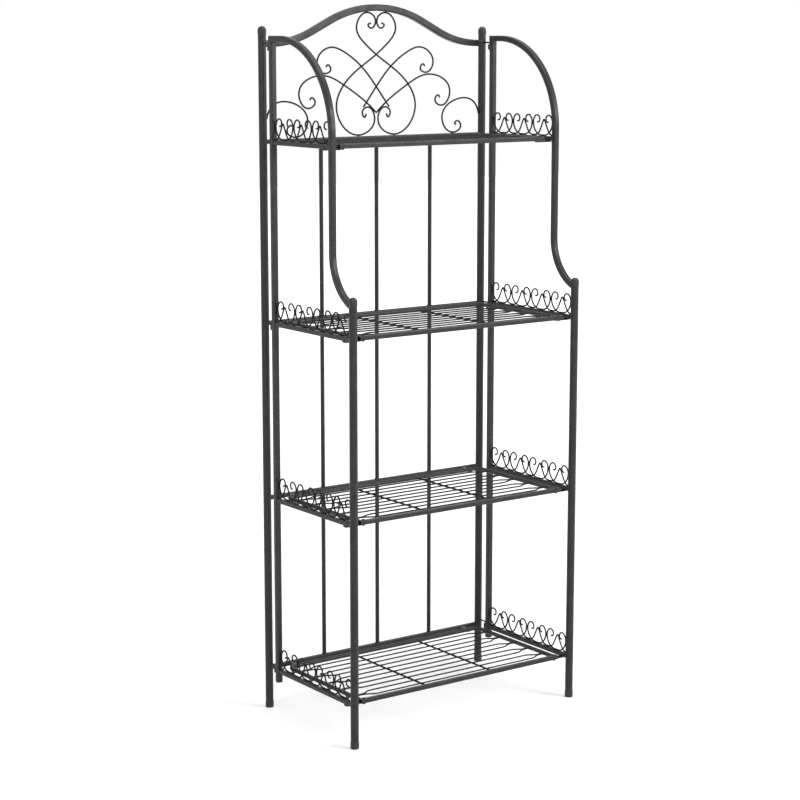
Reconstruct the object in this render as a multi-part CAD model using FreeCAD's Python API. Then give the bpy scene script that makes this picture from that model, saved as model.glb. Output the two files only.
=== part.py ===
import FreeCAD, Part
import math
import os

os.makedirs("parts", exist_ok=True)

# Overall size and the main heights, in millimetres.
overall_width = 630.0
overall_depth = 368.0
overall_height = 1600.0
lowest_shelf = 93.0
crest_height = 305.0
back_post_drop = 49.0
side_top_drop = 70.0
front_post_rise = 96.0

# Tube and wire sizes.
post_diameter = 18.0
foot_diameter = 20.0
foot_height = 16.0
foot_floor = 2.0
ball_diameter = 19.0
ball_height = 20.0
neck_step = 1.0
tube_wall = 1.0
side_bar = 13.0
arch_bar = 15.0
crossbar_size = 10.0
rail_size = 10.0
spindle_diameter = 9.5
scroll_wire = 4.0
gallery_wire = 3.6
lyre_gap = 1.0
deck_wire = 3.5
cross_rod = 4.5

# Back frame.
crossbar_drop = 3.0
panel_lift = 9.6
arch_foot_drop = 17.0
arch_flat = 8.0
arch_slope_factor = 1.7
hollow_share = 0.468

# Side frames.
upright_setback = 42.0
upright_bottom = 71.0
front_run_setback = 75.5
top_bend_radius = 200.0
elbow_radius = 113.0
elbow_angle = 72.0
elbow_rise = 181.2

# Shelves.
shelf_side_gap = 26.0
shelf_corner = 17.0
rear_rail_setback = 36.0
front_rail_gap = 1.0
lower_wire_count = 10
top_wire_count = 8
rear_wire_gap = 34.0
front_wire_gap = 20.0
wire_rise = 2.0
pinch_margin = 17.0
pinch_length = 33.0
rest_gap = 0.3
rest_clearance = 2.0
rest_thickness = 3.0
rest_length = 12.0
rest_reach = 9.0
rivet_inset = 9.0
rivet_head = 9.0
rivet_rise = 2.6
rivet_tail = 8.0
rivet_drop = 2.2

# Hinges.
pin_diameter = 4.0
pin_bend = 3.0
pin_tail = 3.0
knuckle_radius = 5.0
knuckle_height = 12.0
knuckle_web = 7.0
low_hinge_rise = 10.0
middle_hinge_rise = 2.0
high_hinge_drop = 20.0
running_gap = 0.05
strap_thickness = 1.2
strap_width = 10.0
strap_inset = 31.0

# Derived positions shared by several pieces.
post_radius = post_diameter / 2
post_x = overall_width / 2 - foot_diameter / 2
post_y = overall_depth / 2 - foot_diameter / 2
top_shelf = overall_height - crest_height
shelf_step = (top_shelf - lowest_shelf) / 3
levels = [lowest_shelf + shelf_step * index for index in range(4)]
back_top = overall_height - back_post_drop
front_top = levels[2] + front_post_rise
side_top = overall_height - side_top_drop
upright_y = post_y - upright_setback
upright_rear = upright_y + side_bar / 2
upright_front = upright_y - side_bar / 2
front_run_y = -post_y + front_run_setback
hinge_y = upright_rear + knuckle_radius
bar_front = post_y - crossbar_size / 2
rear_rail_y = post_y - rear_rail_setback
shelf_half = post_x - shelf_side_gap
panel_floor = top_shelf + panel_lift
panel_height = overall_height - arch_bar - panel_floor

# Tubes and rods are many-sided with their corners on the true round, and a bore's flats
# clear what it holds. What turns in a hinge is truly round. Bends turn in even steps.
POST_SIDES = 16
ROD_SIDES = 12
WIRE_SIDES = 8
BEND_STEP = 11.0
X_AXIS = FreeCAD.Vector(1, 0, 0)
Y_AXIS = FreeCAD.Vector(0, 1, 0)
Z_AXIS = FreeCAD.Vector(0, 0, 1)


def vec(x, y, z):
    return FreeCAD.Vector(x, y, z)


def box(x0, x1, y0, y1, z0, z1):
    return Part.makeBox(x1 - x0, y1 - y0, z1 - z0, vec(x0, y0, z0))


def closed_face(points):
    return Part.Face(Part.makePolygon(points + points[:1]))


def round_flats(size, sides=ROD_SIDES):
    # Size across the flats of a many-sided rod whose corners lie on the round one.
    return size * math.cos(math.pi / sides)


def round_corners(size, sides=ROD_SIDES):
    # Size across the corners of a many-sided bore whose flats touch the round one.
    return size / math.cos(math.pi / sides)


def bent_rod(path, size, across, sides):
    # Bar bent in one plane: a regular section, flat towards the plane's normal,
    # is set on the mitre of each bend, and the sections are joined by flat faces.
    reach = size / 2 / math.cos(math.pi / sides)
    rings = []
    for index, point in enumerate(path):
        arriving = point - path[index - 1] if index > 0 else path[1] - path[0]
        leaving = path[index + 1] - point if index < len(path) - 1 else path[-1] - path[-2]
        arriving = FreeCAD.Vector(arriving).normalize()
        leaving = FreeCAD.Vector(leaving).normalize()
        middle = (arriving + leaving).normalize()
        sideways = across.cross(middle) / arriving.dot(middle)
        ring = []
        for corner in range(sides):
            angle = math.pi / 2 + (corner + 0.5) * 2 * math.pi / sides
            offset = sideways * (reach * math.cos(angle)) + across * (reach * math.sin(angle))
            ring.append(point + offset)
        rings.append(ring)
    faces = [closed_face(rings[0]), closed_face(rings[-1])]
    for first, second in zip(rings, rings[1:]):
        for corner in range(sides):
            after = (corner + 1) % sides
            faces.append(closed_face([first[corner], first[after], second[after], second[corner]]))
    rod = Part.Solid(Part.makeShell(faces))
    if rod.Volume < 0:
        rod.reverse()
    return rod


def square_tube(path, size, across):
    # Hollow square tube: the same run made again one wall smaller on every side, and cut out.
    return bent_rod(path, size, across, 4).cut(bent_rod(path, size - 2 * tube_wall, across, 4))


def round_bar(base, direction, diameter, length, sides):
    # Straight many-sided bar with its corners on the true round.
    reach = diameter / 2
    across = Y_AXIS if abs(direction.x) > 0.9 else X_AXIS
    upward = direction.cross(across)
    corners = []
    for corner in range(sides):
        angle = (corner + 0.5) * 2 * math.pi / sides
        corners.append(base + across * (reach * math.cos(angle)) + upward * (reach * math.sin(angle)))
    return closed_face(corners).extrude(direction * length)


def round_tube(base, diameter, length, sides):
    outer = round_bar(base, Z_AXIS, diameter, length, sides)
    return outer.cut(round_bar(base, Z_AXIS, diameter - 2 * tube_wall, length, sides))


def ring(centre, radius, sides=ROD_SIDES):
    corners = []
    for corner in range(sides + 1):
        turn = corner * 2 * math.pi / sides
        corners.append(centre + vec(radius * math.cos(turn), radius * math.sin(turn), 0))
    return Part.makePolygon(corners)


def smooth_path(points, step_angle):
    # Fair curve through the drawn points, cut into straight runs by its turning angle.
    curve = Part.BSplineCurve()
    curve.interpolate(points)
    return curve.discretize(Angular=math.radians(step_angle), Curvature=2.0, Minimum=2)


def bend(centre, radius, first, last, plane, step=BEND_STEP):
    # Points on an arc between two angles in degrees; plane turns (along, up) into a point.
    count = max(2, math.ceil(abs(last - first) / step))
    points = []
    for index in range(count + 1):
        turn = math.radians(first + (last - first) * index / count)
        points.append(plane(centre[0] + radius * math.cos(turn), centre[1] + radius * math.sin(turn)))
    return points


def save(name, solids):
    shape = solids[0] if len(solids) == 1 else Part.makeCompound(solids)
    shape.exportStep("parts/" + name + ".step")


# Posts and their end caps.

def post_space(x, y, top):
    # What a tube that butts against a post is cut with: the post and the cap on its end.
    post = round_bar(vec(x, y, 0), Z_AXIS, post_diameter, top - ball_height, POST_SIDES)
    cap_size = round_corners(ball_diameter, POST_SIDES)
    return post.fuse(round_bar(vec(x, y, top - ball_height), Z_AXIS, cap_size, ball_height, POST_SIDES))


def make_post(x, y, top):
    return round_tube(vec(x, y, foot_floor), post_diameter, top - ball_height - foot_floor, POST_SIDES)


def make_foot(x, y):
    outer = round_bar(vec(x, y, 0), Z_AXIS, foot_diameter, foot_height, ROD_SIDES)
    pocket = round_corners(post_diameter)
    return outer.cut(round_bar(vec(x, y, foot_floor), Z_AXIS, pocket, foot_height, ROD_SIDES))


def make_ball(x, y, top):
    # Turned end cap: a narrow neck on the tube end, a short body and a domed crown.
    radius = ball_diameter / 2
    base = top - ball_height
    crown = top - radius
    neck = radius - neck_step
    rings = [(neck, base), (neck, base + 1.5), (radius, base + 2.5), (radius, crown)]
    for angle in (30, 60):
        turn = math.radians(angle)
        rings.append((radius * math.cos(turn), crown + radius * math.sin(turn)))
    rings.append((radius / 6, top))
    return Part.makeLoft([ring(vec(x, y, z), size) for size, z in rings], True, True)


# Back frame.

def arch_line():
    # Half of the crest: flat end, hollow bend, straight slope and the crown bend,
    # whose radii follow from the width left and the rise. The other half mirrors it.
    foot_z = side_top - arch_foot_drop
    crown_z = overall_height - arch_bar / 2
    rise = crown_z - foot_z
    span = post_x - post_radius - arch_flat
    slope = math.atan2(rise, span) * arch_slope_factor
    bends = (span * math.sin(slope) - rise * math.cos(slope)) / (1 - math.cos(slope))
    hollow = bends * hollow_share
    crown = bends - hollow
    degrees = math.degrees(slope)

    def plane(x, z):
        return vec(x, post_y, z)

    left = [plane(-post_x, foot_z)]
    left += bend((-span, foot_z + hollow), hollow, -90, -90 + degrees, plane)
    left += bend((0.0, crown_z - crown), crown, 90 + degrees, 90, plane)
    return left + [plane(-point.x, point.z) for point in left[-2::-1]]


def under_arch(x):
    # Height of the crest's underside at a distance from the middle.
    line = arch_line()
    for first, second in zip(line, line[1:]):
        if first.x <= x <= second.x:
            share = (x - first.x) / (second.x - first.x)
            run = second - first
            return first.z + share * run.z - arch_bar / 2 * run.Length / run.x
    return overall_height - arch_bar


def make_arch():
    tube = square_tube(arch_line(), arch_bar, Y_AXIS)
    return tube.cut(post_space(-post_x, post_y, back_top)).cut(post_space(post_x, post_y, back_top))


def make_crossbar(bottom):
    centre = bottom + crossbar_size / 2
    bar = square_tube([vec(-post_x, post_y, centre), vec(post_x, post_y, centre)], crossbar_size, Y_AXIS)
    return bar.cut(post_space(-post_x, post_y, back_top)).cut(post_space(post_x, post_y, back_top))


def bar_bottom(index):
    return panel_floor - crossbar_size if index == 3 else levels[index] - crossbar_drop


def make_spindles():
    solids = []
    for index in range(3):
        start = bar_bottom(index) + crossbar_size
        length = bar_bottom(index + 1) - start
        for place in (-1, 0, 1):
            base = vec(place * post_x / 2, post_y, start)
            solids.append(round_tube(base, spindle_diameter, length, WIRE_SIDES))
    return solids


# Scrollwork drawn for the right half of a panel 296 wide and 280.4 high,
# as sideways distance from the middle and height above the top crossbar.
DRAWN_WIDTH = 296.0
DRAWN_HEIGHT = 280.4

HEART = [
    (-16.5, 253.4), (-23.5, 248.2), (-15.5, 242.2), (-3.2, 258.0),
    (-27.5, 277.0), (-55.5, 243.0), (-33.0, 208.5), (0.0, 182.4),
    (43.0, 154.5), (89.0, 115.0), (108.5, 65.0), (49.0, 2.5),
    (3.2, 38.5), (22.5, 65.0), (37.5, 53.0), (32.0, 42.5), (27.0, 50.0),
]
HEART_TOP = 4
UPPER = [
    (-34.4, 65.5), (0.0, 109.4), (41.5, 156.0), (92.5, 191.0), (128.0, 199.5),
    (162.5, 167.5), (143.0, 142.0), (126.0, 151.5), (132.5, 161.0), (138.5, 156.0),
]
MIDDLE = [
    (1.5, 52.4), (29.0, 76.0), (90.0, 115.5), (155.0, 137.5), (211.5, 98.0),
    (185.0, 65.5), (168.5, 80.0), (177.0, 89.0), (182.0, 83.5),
]
CORNER = [
    (294.0, 44.0), (235.0, 80.3), (186.0, 40.0), (215.0, 2.5),
    (241.0, 17.5), (231.0, 28.5), (223.5, 24.0), (227.0, 20.0),
]


def make_scroll(drawing, side, layer, crest_point=None):
    # The wires lie in two layers, one each side of the panel's middle plane.
    # The point named as the crest point rises until the wire meets the arch.
    across = (post_x - post_radius) / DRAWN_WIDTH
    upward = panel_height / DRAWN_HEIGHT
    y = post_y + layer * scroll_wire / 2
    points = [vec(side * x * across, y, panel_floor + z * upward) for x, z in drawing]
    if crest_point is not None:
        touch = points[crest_point]
        touch.z = under_arch(touch.x) - scroll_wire / 2
    return bent_rod(smooth_path(points, 45), scroll_wire, Y_AXIS, 4)


# Hinges between the back frame, the side frames and the shelves.

def hinge_heights():
    return [lowest_shelf + low_hinge_rise, levels[2] + middle_hinge_rise, side_top - high_hinge_drop]


def make_hinge_pins(x):
    # Cranked pins: out of the back post, round a short bend and down through the knuckle.
    solids = []
    crank = round_flats(pin_diameter * 0.98, 6)
    for top in hinge_heights():
        arm = top + pin_diameter
        foot = top - knuckle_height - pin_tail
        path = [vec(x, post_y - post_radius, arm)]
        path += bend((hinge_y + pin_bend, arm - pin_bend), pin_bend, 90, 180, lambda y, z: vec(x, y, z), 45)
        path.append(vec(x, hinge_y, arm - pin_bend - 1))
        leg = Part.makeCylinder(pin_diameter / 2, arm - pin_bend - foot, vec(x, hinge_y, foot))
        solids.append(bent_rod(path, crank, X_AXIS, 6).fuse(leg))
    return solids


def make_knuckles(x):
    solids = []
    half = knuckle_web / 2
    for top in hinge_heights():
        base = vec(x, hinge_y, top - knuckle_height)
        barrel = round_bar(base, Z_AXIS, 2 * knuckle_radius, knuckle_height, WIRE_SIDES)
        web = box(x - half, x + half, upright_rear, hinge_y, top - knuckle_height, top)
        bore_size = round_corners(pin_diameter + 2 * running_gap, WIRE_SIDES)
        bore = round_bar(base, Z_AXIS, bore_size, knuckle_height, WIRE_SIDES)
        solids.append(barrel.fuse(web).removeSplitter().cut(bore))
    return solids


def make_straps(level):
    # Sheet loops welded to the crossbar; the shelf's rear rail turns in them.
    solids = []
    axis_z = level + rail_size / 2
    bore_size = rail_size + 2 * running_gap
    for side in (-1, 1):
        start = side * (shelf_half - strap_inset) - strap_width / 2
        base = vec(start, rear_rail_y, axis_z)
        outer = round_corners(bore_size + 2 * strap_thickness, WIRE_SIDES)
        loop = round_bar(base, X_AXIS, outer, strap_width, WIRE_SIDES)
        low = axis_z - strap_thickness
        tongue = box(start, start + strap_width, rear_rail_y, bar_front, low, low + 2 * strap_thickness)
        bore = round_bar(base, X_AXIS, round_corners(bore_size, WIRE_SIDES), strap_width, WIRE_SIDES)
        solids.append(loop.fuse(tongue).removeSplitter().cut(bore))
    return solids


# Side frames.

def make_upright(x):
    ends = [vec(x, upright_y, upright_bottom), vec(x, upright_y, side_top - side_bar)]
    return square_tube(ends, side_bar, X_AXIS)


def make_curved_tube(x):
    # One tube: level over the upright, a wide bend forward and down, a straight run,
    # and an elbow that lands on the back of the front post.
    top_z = side_top - side_bar / 2
    elbow_z = levels[2] + elbow_rise

    def plane(y, z):
        return vec(x, y, z)

    path = [plane(upright_rear, top_z)]
    path += bend((front_run_y + top_bend_radius, top_z - top_bend_radius), top_bend_radius, 90, 180, plane)
    path += bend((front_run_y - elbow_radius, elbow_z), elbow_radius, 0, -elbow_angle, plane)
    return square_tube(path, side_bar, X_AXIS).cut(post_space(x, -post_y, front_top))


def rail_end(index):
    return front_run_y + side_bar / 2 if index == 3 else -post_y


def make_side_rails(x):
    solids = []
    for index, level in enumerate(levels):
        centre = level - rest_gap + rail_size / 2
        ends = [vec(x, upright_front, centre), vec(x, rail_end(index), centre)]
        rail = square_tube(ends, rail_size, X_AXIS)
        solids.append(rail if index == 3 else rail.cut(post_space(x, -post_y, front_top)))
    return solids


# Half a lyre and half a wave, as distance from the unit's middle and height above the rail.
# Both end on the rail, and a lyre keeps clear of the unit's sides by the lyre gap.
GALLERY_SEAT = gallery_wire / 2
LYRE = [
    (19.6, 31.4), (12.3, 33.6), (12.0, 42.0), (21.6, 46.9), (31.4, 39.8),
    (33.5, 26.0), (25.0, 9.6), (9.0, GALLERY_SEAT),
]
LYRE_REACH = 33.5
WAVE = [(0.0, 37.0), (7.5, 25.5), (18.0, 5.5), (36.3, GALLERY_SEAT)]
WAVE_REACH = 36.3


def make_gallery(x, index, count):
    # Lyres with turned-in ends side by side, and one wire waving through them.
    side = 1 if x > 0 else -1
    start = upright_front
    end = rail_end(index)
    if index < 3:
        end += post_radius
    pitch = (start - end) / count
    lyre_stretch = ((pitch - gallery_wire) / 2 - lyre_gap) / LYRE_REACH
    wave_stretch = pitch / 2 / WAVE_REACH
    floor = levels[index] - rest_gap + rail_size
    inner = x - side * gallery_wire / 2
    outer = x + side * gallery_wire / 2
    solids = []
    wave = []
    for unit in range(count):
        middle = start - pitch * (unit + 0.5)
        half = [(u * lyre_stretch, w) for u, w in LYRE]
        whole = [(-u, w) for u, w in half] + half[::-1]
        points = [vec(inner, middle + u, floor + w) for u, w in whole]
        solids.append(bent_rod(points, gallery_wire, X_AXIS, 4))
        rising = [(u * wave_stretch, w) for u, w in WAVE[::-1]]
        falling = [(-u, w) for u, w in rising[-2::-1]]
        for u, w in rising + falling:
            point = vec(outer, middle + u, floor + w)
            if not wave or point.distanceToPoint(wave[-1]) > 0.5:
                wave.append(point)
    solids.append(bent_rod(wave, gallery_wire, X_AXIS, 4))
    return solids


def front_rail_face(index):
    member = front_run_y + side_bar / 2 if index == 3 else -post_y + post_radius
    return member + front_rail_gap


def make_rests(x):
    # Plates under the side rails just behind the front rail; the shelf's sides lie on them.
    side = 1 if x > 0 else -1
    inner = side * (shelf_half - rest_reach)
    outer = x + side * rail_size / 2
    low, high = min(inner, outer), max(inner, outer)
    solids = []
    for index, level in enumerate(levels):
        start = front_rail_face(index) + rail_size + rest_clearance
        top = level - rest_gap
        solids.append(box(low, high, start, start + rest_length, top - rest_thickness, top))
    return solids


# Shelves.

def make_shelf_frame(index):
    # One round tube bent to a U, its two ends against the front rail; the straight
    # rear run is truly round, because it turns in the straps.
    z = levels[index] + rail_size / 2
    half = shelf_half - rail_size / 2
    front = front_rail_face(index) + rail_size
    turn = half - shelf_corner
    frame = Part.makeCylinder(rail_size / 2, 2 * turn, vec(-turn, rear_rail_y, z), X_AXIS)
    for side in (-1, 1):
        def plane(x, y):
            return vec(side * x, y, z)

        path = [plane(half, front)]
        path += bend((turn, rear_rail_y - shelf_corner), shelf_corner, 0, 90, plane, 30)
        path.append(plane(turn - 1, rear_rail_y))
        arm = round_flats(rail_size * 0.98, WIRE_SIDES)
        frame = frame.fuse(bent_rod(path, arm, Z_AXIS * side, WIRE_SIDES))
    return frame


def make_front_rail(index):
    z = levels[index] + rail_size / 2
    y = front_rail_face(index) + rail_size / 2
    return square_tube([vec(-shelf_half, y, z), vec(shelf_half, y, z)], rail_size, Z_AXIS)


def wire_height(index):
    return levels[index] + rail_size / 2 + wire_rise


def make_deck(index):
    # Long wires, straight in the middle and brought together in pairs at both ends.
    count = top_wire_count if index == 3 else lower_wire_count
    z = wire_height(index)
    first = rear_rail_y - rear_wire_gap
    last = front_rail_face(index) + rail_size / 2 + front_wire_gap
    pitch = (first - last) / (count - 1)
    end = shelf_half - rail_size + 0.02
    closed = end - pinch_margin
    opened = closed - pinch_length
    solids = []
    for wire in range(count):
        y = first - pitch * wire
        towards = -1 if wire % 2 == 0 else 1
        pinched = y + towards * (pitch - deck_wire) / 2
        half = [(opened, y), (closed, pinched), (end, pinched)]
        points = [vec(-x, place, z) for x, place in half[::-1]]
        points += [vec(x, place, z) for x, place in half]
        solids.append(bent_rod(points, deck_wire, Z_AXIS, 4))
    return solids


def make_cross_rods(index):
    # Two rods under the wires, from the front rail to the side of the round rear rail.
    z = wire_height(index) - deck_wire / 2 - cross_rod / 2
    rear = rear_rail_y - rail_size / 2
    front = front_rail_face(index) + rail_size
    solids = []
    for side in (-1, 1):
        base = vec(side * shelf_half / 3, front, z)
        solids.append(round_bar(base, Y_AXIS, cross_rod, rear - front, WIRE_SIDES))
    return solids


def make_buttons(index):
    # Rivets through the front rail's ends: a domed head on top and a short tail below.
    y = front_rail_face(index) + rail_size / 2
    low = levels[index]
    top = low + rail_size
    radius = rivet_head / 2
    solids = []
    for side in (-1, 1):
        x = side * (shelf_half - rivet_inset)
        heights = [(top, radius), (top + rivet_rise, radius * 0.7)]
        rings = [ring(vec(x, y, z), size, WIRE_SIDES) for z, size in heights]
        solids.append(Part.makeLoft(rings, True, True))
        solids.append(round_bar(vec(x, y, low - rivet_drop), Z_AXIS, rivet_tail, rivet_drop, 6))
    return solids


LEVEL_NAMES = ["bottom", "lower", "upper", "top"]

for name, side in [("left", -1), ("right", 1)]:
    x = side * post_x
    save("back_" + name + "_post", [make_post(x, post_y, back_top)])
    save("back_" + name + "_caps", [make_foot(x, post_y), make_ball(x, post_y, back_top)])
    save(name + "_hinge_pins", make_hinge_pins(x))
    save(name + "_rear_upright", [make_upright(x)])
    save(name + "_curved_tube", [make_curved_tube(x)])
    save(name + "_front_post", [make_post(x, -post_y, front_top)])
    save(name + "_front_caps", [make_foot(x, -post_y), make_ball(x, -post_y, front_top)])
    save(name + "_side_rails", make_side_rails(x))
    lower_galleries = []
    for index in range(3):
        lower_galleries += make_gallery(x, index, 4)
    save(name + "_lower_galleries", lower_galleries)
    save(name + "_top_gallery", make_gallery(x, 3, 3))
    save(name + "_hinge_knuckles", make_knuckles(x))
    save(name + "_shelf_rests", make_rests(x))
    save(name + "_heart_scroll", [make_scroll(HEART, side, -side, HEART_TOP)])
    save(name + "_upper_scroll", [make_scroll(UPPER, side, side)])
    save(name + "_middle_scroll", [make_scroll(MIDDLE, side, side)])
    save(name + "_corner_scroll", [make_scroll(CORNER, side, -side)])

save("top_arch", [make_arch()])
save("spindles", make_spindles())

straps = []
for index, name in enumerate(LEVEL_NAMES):
    save(name + "_crossbar", [make_crossbar(bar_bottom(index))])
    save(name + "_shelf_frame", [make_shelf_frame(index)])
    save(name + "_front_rail", [make_front_rail(index)])
    save(name + "_deck_wires", make_deck(index))
    save(name + "_cross_rods", make_cross_rods(index))
    save(name + "_corner_buttons", make_buttons(index))
    straps += make_straps(levels[index])
save("shelf_straps", straps)
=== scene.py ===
import math
import random

import bmesh
import bpy
import numpy
from mathutils import Matrix, Vector


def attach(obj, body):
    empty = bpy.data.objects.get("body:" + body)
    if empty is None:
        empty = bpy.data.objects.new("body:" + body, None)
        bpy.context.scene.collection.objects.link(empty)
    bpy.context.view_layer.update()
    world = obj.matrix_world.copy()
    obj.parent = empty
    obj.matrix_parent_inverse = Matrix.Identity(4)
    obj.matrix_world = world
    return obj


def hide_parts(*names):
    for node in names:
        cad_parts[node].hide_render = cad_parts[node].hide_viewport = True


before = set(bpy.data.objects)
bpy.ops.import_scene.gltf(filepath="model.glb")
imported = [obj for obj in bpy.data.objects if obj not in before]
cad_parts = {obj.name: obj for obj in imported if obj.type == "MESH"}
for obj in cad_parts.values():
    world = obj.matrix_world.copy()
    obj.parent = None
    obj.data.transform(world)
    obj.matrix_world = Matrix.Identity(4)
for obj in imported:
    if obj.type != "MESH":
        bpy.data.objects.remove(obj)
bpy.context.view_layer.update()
rng = random.Random(7)
print("frame loaded:", len(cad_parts), "nodes")

scene = bpy.context.scene
scene.view_settings.view_transform = "Standard"


def feed(tree, node, terms):
    # a term is another node's socket, or a plain value
    for name, term in terms.items():
        if isinstance(term, bpy.types.NodeSocket):
            tree.links.new(term, node.inputs[name])
        else:
            node.inputs[name].default_value = term


def addMath(tree, operation, *terms):
    node = tree.nodes.new("ShaderNodeMath")
    node.operation = operation
    feed(tree, node, dict(enumerate(terms)))
    return node.outputs["Value"]


def addRange(tree, value, low, high, least=0.0, most=1.0):
    # least at low and below it, most at high and above it
    node = tree.nodes.new("ShaderNodeMapRange")
    feed(tree, node, {"Value": value, "From Min": low, "From Max": high,
                      "To Min": least, "To Max": most})
    return node.outputs["Result"]


def addNoise(tree, scale, detail, roughness=0.5):
    # on object coordinates, so the pattern rides with its piece
    coords = tree.nodes.new("ShaderNodeTexCoord")
    node = tree.nodes.new("ShaderNodeTexNoise")
    feed(tree, node, {"Vector": coords.outputs["Object"], "Scale": scale,
                      "Detail": detail, "Roughness": roughness})
    return node.outputs["Fac"]


def addBlend(tree, share, first, second):
    node = tree.nodes.new("ShaderNodeMix")
    node.data_type = "RGBA"
    feed(tree, node, {"Factor": share, "A": first, "B": second})
    return node.outputs["Result"]


def addGroup(tree, group, terms):
    node = tree.nodes.new("ShaderNodeGroup")
    node.node_tree = group
    feed(tree, node, terms)
    return node.outputs


def startGroup(name, inputs, outputs):
    # inputs are names with their usual values, and four numbers are a colour
    tree = bpy.data.node_groups.new(name, "ShaderNodeTree")
    for label, value in inputs.items():
        kind = "NodeSocketColor" if isinstance(value, tuple) else "NodeSocketFloat"
        socket = tree.interface.new_socket(name=label, in_out="INPUT", socket_type=kind)
        socket.default_value = value
    for label in outputs:
        kind = "NodeSocketColor" if label == "Color" else "NodeSocketFloat"
        tree.interface.new_socket(name=label, in_out="OUTPUT", socket_type=kind)
    return tree, tree.nodes.new("NodeGroupInput").outputs, tree.nodes.new("NodeGroupOutput")


def tintWhere(tree, given, result, here, there, tint):
    # the colour goes to the tint where both masks are light
    both = addMath(tree, "MULTIPLY", here, there)
    amount = addMath(tree, "MULTIPLY", both, given["Amount"])
    feed(tree, result, {"Color": addBlend(tree, amount, given["Color"], given[tint])})


coatSpec = {
    "cloudDetail": 4, "cloudRoughness": 0.62, "cloudLow": 0.36, "cloudHigh": 0.66,
    "roughnessFall": -0.12,  # the lighter clouds are a little smoother
    "skinScale": 900, "skinDetail": 2, "skinHeight": 0.5, "lumpScale": 210, "lumpDetail": 1,
}


def makeCoatGroup():
    # cloudy two-tone paint with a fine orange-peel skin
    usual = {"Dark": (0.03, 0.032, 0.031, 1), "Light": (0.06, 0.064, 0.062, 1),
             "Cloud Size": 70.0, "Roughness": 0.5}
    tree, given, result = startGroup("charcoalCoat", usual, ["Color", "Roughness", "Height"])
    clouds = addNoise(tree, given["Cloud Size"], coatSpec["cloudDetail"],
                      coatSpec["cloudRoughness"])
    pale = addRange(tree, clouds, coatSpec["cloudLow"], coatSpec["cloudHigh"])
    skin = addNoise(tree, coatSpec["skinScale"], coatSpec["skinDetail"])
    lumps = addNoise(tree, coatSpec["lumpScale"], coatSpec["lumpDetail"])
    feed(tree, result, {
        "Color": addBlend(tree, pale, given["Dark"], given["Light"]),
        "Roughness": addMath(tree, "MULTIPLY_ADD", pale, coatSpec["roughnessFall"],
                             given["Roughness"]),
        "Height": addMath(tree, "MULTIPLY_ADD", skin, coatSpec["skinHeight"], lumps),
    })
    return tree


dustSpec = {"tiltLow": 0.55, "tiltHigh": 1.0,
            "speckScale": 320, "speckDetail": 3, "speckLow": 0.48, "speckHigh": 0.7}


def makeDustGroup():
    # pale specks of dust on what faces up
    usual = {"Color": (0.05, 0.05, 0.05, 1), "Dust": (0.16, 0.165, 0.16, 1), "Amount": 0.25}
    tree, given, result = startGroup("settledDust", usual, ["Color"])
    geometry = tree.nodes.new("ShaderNodeNewGeometry")
    split = tree.nodes.new("ShaderNodeSeparateXYZ")
    feed(tree, split, {"Vector": geometry.outputs["Normal"]})
    upward = addRange(tree, split.outputs["Z"], dustSpec["tiltLow"], dustSpec["tiltHigh"])
    specks = addNoise(tree, dustSpec["speckScale"], dustSpec["speckDetail"])
    sparse = addRange(tree, specks, dustSpec["speckLow"], dustSpec["speckHigh"])
    tintWhere(tree, given, result, upward, sparse, "Dust")
    return tree


rubAndHighlightSpec = {"cornerLow": 0.52, "cornerHigh": 0.66, "patchScale": 34, "patchDetail": 5,
           "patchRoughness": 0.65, "patchLow": 0.42, "patchHigh": 0.68}


def makeRubAndHighlightGroup():
    # the coat wears to a paler grey along outer corners, more in some places than others, and the
    # same pale tint is also a painted highlight on those corners
    usual = {"Color": (0.05, 0.05, 0.05, 1), "Worn": (0.10, 0.103, 0.10, 1), "Amount": 0.5}
    tree, given, result = startGroup("cornerRub", usual, ["Color"])
    geometry = tree.nodes.new("ShaderNodeNewGeometry")
    corner = addRange(tree, geometry.outputs["Pointiness"],
                      rubAndHighlightSpec["cornerLow"], rubAndHighlightSpec["cornerHigh"])
    patches = addNoise(tree, rubAndHighlightSpec["patchScale"], rubAndHighlightSpec["patchDetail"],
                       rubAndHighlightSpec["patchRoughness"])
    uneven = addRange(tree, patches, rubAndHighlightSpec["patchLow"], rubAndHighlightSpec["patchHigh"])
    tintWhere(tree, given, result, corner, uneven, "Worn")
    return tree


# the corner group paints a pale tint on corners, partly wear and partly a painted highlight
coatGroup = makeCoatGroup()
dustGroup = makeDustGroup()
rubAndHighlightGroup = makeRubAndHighlightGroup()

skinDepth = 0.0004
# one amount in each look sets the pale tint on corners, partly wear and partly a painted highlight
paintLooks = {
    "tubePaint": {
        "dark": (0.0178, 0.0189, 0.0182), "light": (0.0275, 0.0292, 0.0281), "clouds": 60,
        "rough": 0.42, "dust": 0.06, "rub": 0.65, "bump": 0.08, "gloss": 0.24},
    "wirePaint": {
        "dark": (0.008, 0.0086, 0.0083), "light": (0.014, 0.0149, 0.0143), "clouds": 90,
        "rough": 0.48, "dust": 0.05, "rub": 0.12, "bump": 0.08, "gloss": 0.12},
    "capPlastic": {
        "dark": (0.023, 0.024, 0.0235), "light": (0.032, 0.034, 0.033), "clouds": 120,
        "rough": 0.55, "dust": 0.12, "rub": 0.25, "bump": 0.14, "gloss": 0.30},
    "weldPaint": {
        "dark": (0.016, 0.017, 0.0165), "light": (0.028, 0.030, 0.029), "clouds": 200,
        "rough": 0.58, "dust": 0.08, "rub": 0.3, "bump": 0.9, "gloss": 0.16},
}


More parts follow.
